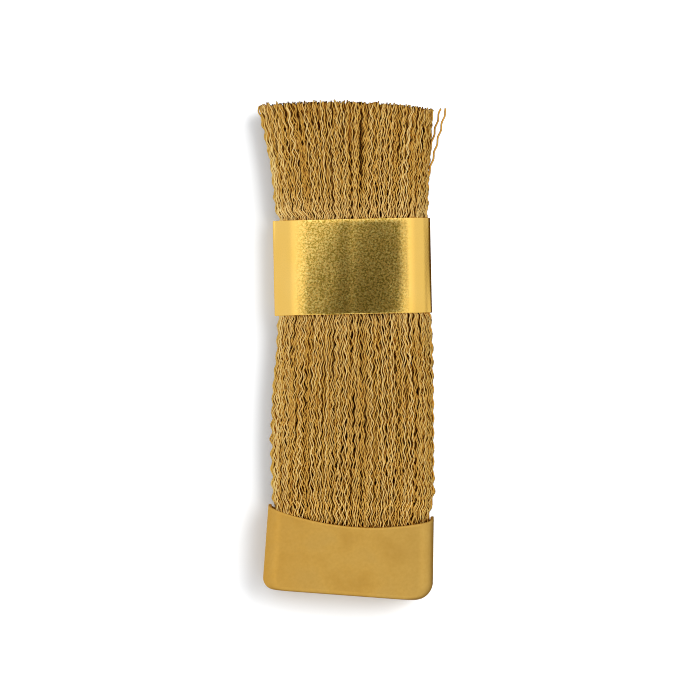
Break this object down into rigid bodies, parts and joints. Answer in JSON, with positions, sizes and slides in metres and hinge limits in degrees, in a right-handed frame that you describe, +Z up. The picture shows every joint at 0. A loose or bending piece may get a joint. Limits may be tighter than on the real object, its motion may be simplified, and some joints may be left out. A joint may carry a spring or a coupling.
{
  "type": "flat wire cleaning brush",
  "caption": "Flat hand brush of crimped brass wires doubled over inside a sheet cap, with a sheet band that slides along the wires.",
  "frame": {"origin": "centre of the brush's length and width, on the surface that it lies on", "axes": "+Y along the wires towards their tips, +X across the width, +Z up, out of the front face"},
  "size_m": [0.0238, 0.063, 0.0066],
  "materials": {
    "cap_brass": "satin",
    "band_brass": "polished, with a fine grain",
    "wire_brass": "drawn wire"
  },
  "bodies": {
    "brush": {"end_cap": "cap_brass", "anchor_wire": "cap_brass", "folded_ends": "wire_brass", "lower_wires_left_4": "wire_brass", "lower_wires_left_3": "wire_brass", "lower_wires_left_2": "wire_brass", "lower_wires_left_1": "wire_brass", "lower_wires_middle": "wire_brass", "lower_wires_right_1": "wire_brass", "lower_wires_right_2": "wire_brass", "lower_wires_right_3": "wire_brass", "lower_wires_right_4": "wire_brass", "upper_wires_middle": "wire_brass"},
    "band": {"sliding_band": "band_brass"},
    "tuft_left_4": {"upper_wires_left_4": "wire_brass"},
    "tuft_left_3": {"upper_wires_left_3": "wire_brass"},
    "tuft_left_2": {"upper_wires_left_2": "wire_brass"},
    "tuft_left_1": {"upper_wires_left_1": "wire_brass"},
    "tuft_right_1": {"upper_wires_right_1": "wire_brass"},
    "tuft_right_2": {"upper_wires_right_2": "wire_brass"},
    "tuft_right_3": {"upper_wires_right_3": "wire_brass"},
    "tuft_right_4": {"upper_wires_right_4": "wire_brass"},
    "strays": {"stray_wires": "wire_brass"}
  },
  "joints": [
    {"name": "band_slide", "type": "slide", "parent": "brush", "child": "band", "axis": [0, 1, 0], "range_m": [-0.0235, 0.012]},
    {"name": "splay_left_4", "type": "hinge", "parent": "brush", "child": "tuft_left_4", "pos_m": [-0.00827, 0.0045, 0.0032], "axis": [0, 0, 1], "range_deg": [-9.5, 9.5]},
    {"name": "splay_left_3", "type": "hinge", "parent": "brush", "child": "tuft_left_3", "pos_m": [-0.0062, 0.0045, 0.0032], "axis": [0, 0, 1], "range_deg": [-7.1, 7.1]},
    {"name": "splay_left_2", "type": "hinge", "parent": "brush", "child": "tuft_left_2", "pos_m": [-0.00413, 0.0045, 0.0032], "axis": [0, 0, 1], "range_deg": [-4.8, 4.8]},
    {"name": "splay_left_1", "type": "hinge", "parent": "brush", "child": "tuft_left_1", "pos_m": [-0.00207, 0.0045, 0.0032], "axis": [0, 0, 1], "range_deg": [-2.4, 2.4]},
    {"name": "splay_right_1", "type": "hinge", "parent": "brush", "child": "tuft_right_1", "pos_m": [0.00207, 0.0045, 0.0032], "axis": [0, 0, 1], "range_deg": [-2, 2]},
    {"name": "splay_right_2", "type": "hinge", "parent": "brush", "child": "tuft_right_2", "pos_m": [0.00413, 0.0045, 0.0032], "axis": [0, 0, 1], "range_deg": [-3.9, 3.9]},
    {"name": "splay_right_3", "type": "hinge", "parent": "brush", "child": "tuft_right_3", "pos_m": [0.0062, 0.0045, 0.0032], "axis": [0, 0, 1], "range_deg": [-5.8, 5.8]},
    {"name": "splay_right_4", "type": "hinge", "parent": "brush", "child": "tuft_right_4", "pos_m": [0.00827, 0.0045, 0.0032], "axis": [0, 0, 1], "range_deg": [-7.7, 7.7]},
    {"name": "splay_strays", "type": "hinge", "parent": "brush", "child": "strays", "pos_m": [0.0092, 0.0045, 0.0032], "axis": [0, 0, 1], "range_deg": [-9.9, 9.9]}
  ],
  "couplings": [
    {"joint": "splay_left_4", "follows": "band_slide", "rad_per_m": -6.8},
    {"joint": "splay_left_3", "follows": "band_slide", "rad_per_m": -5.1},
    {"joint": "splay_left_2", "follows": "band_slide", "rad_per_m": -3.4},
    {"joint": "splay_left_1", "follows": "band_slide", "rad_per_m": -1.7},
    {"joint": "splay_right_1", "follows": "band_slide", "rad_per_m": 1.375},
    {"joint": "splay_right_2", "follows": "band_slide", "rad_per_m": 2.75},
    {"joint": "splay_right_3", "follows": "band_slide", "rad_per_m": 4.125},
    {"joint": "splay_right_4", "follows": "band_slide", "rad_per_m": 5.5},
    {"joint": "splay_strays", "follows": "band_slide", "rad_per_m": 7}
  ]
}
